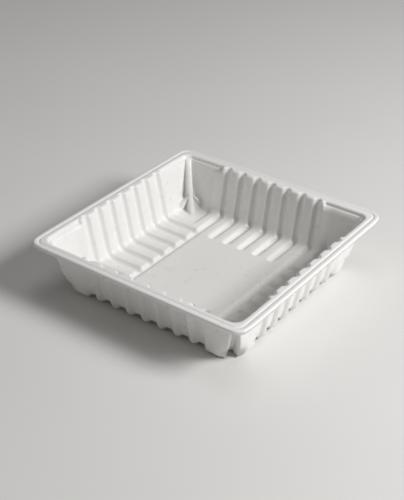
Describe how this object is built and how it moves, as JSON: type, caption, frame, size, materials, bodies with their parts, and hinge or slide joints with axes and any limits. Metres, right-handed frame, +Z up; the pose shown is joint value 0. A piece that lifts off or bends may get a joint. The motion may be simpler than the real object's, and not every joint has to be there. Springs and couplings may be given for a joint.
{
  "type": "thermoformed tray",
  "caption": "Shallow square one-piece plastic food tray with fluted sloping walls, a ribbed floor round a flat middle panel, ribbed corners and a flat rim with a turned-down edge.",
  "frame": {"origin": "centre of the tray's square outline, on the ground under its base", "axes": "+Z up, out of the open top; X and Y along the sides; the long floor channels run along Y"},
  "size_m": [0.19, 0.19, 0.043],
  "materials": {
    "sheet": "thin white polypropylene sheet with a soft thermoformed gloss"
  },
  "bodies": {
    "root": {"tray": "sheet"}
  },
  "joints": []
}
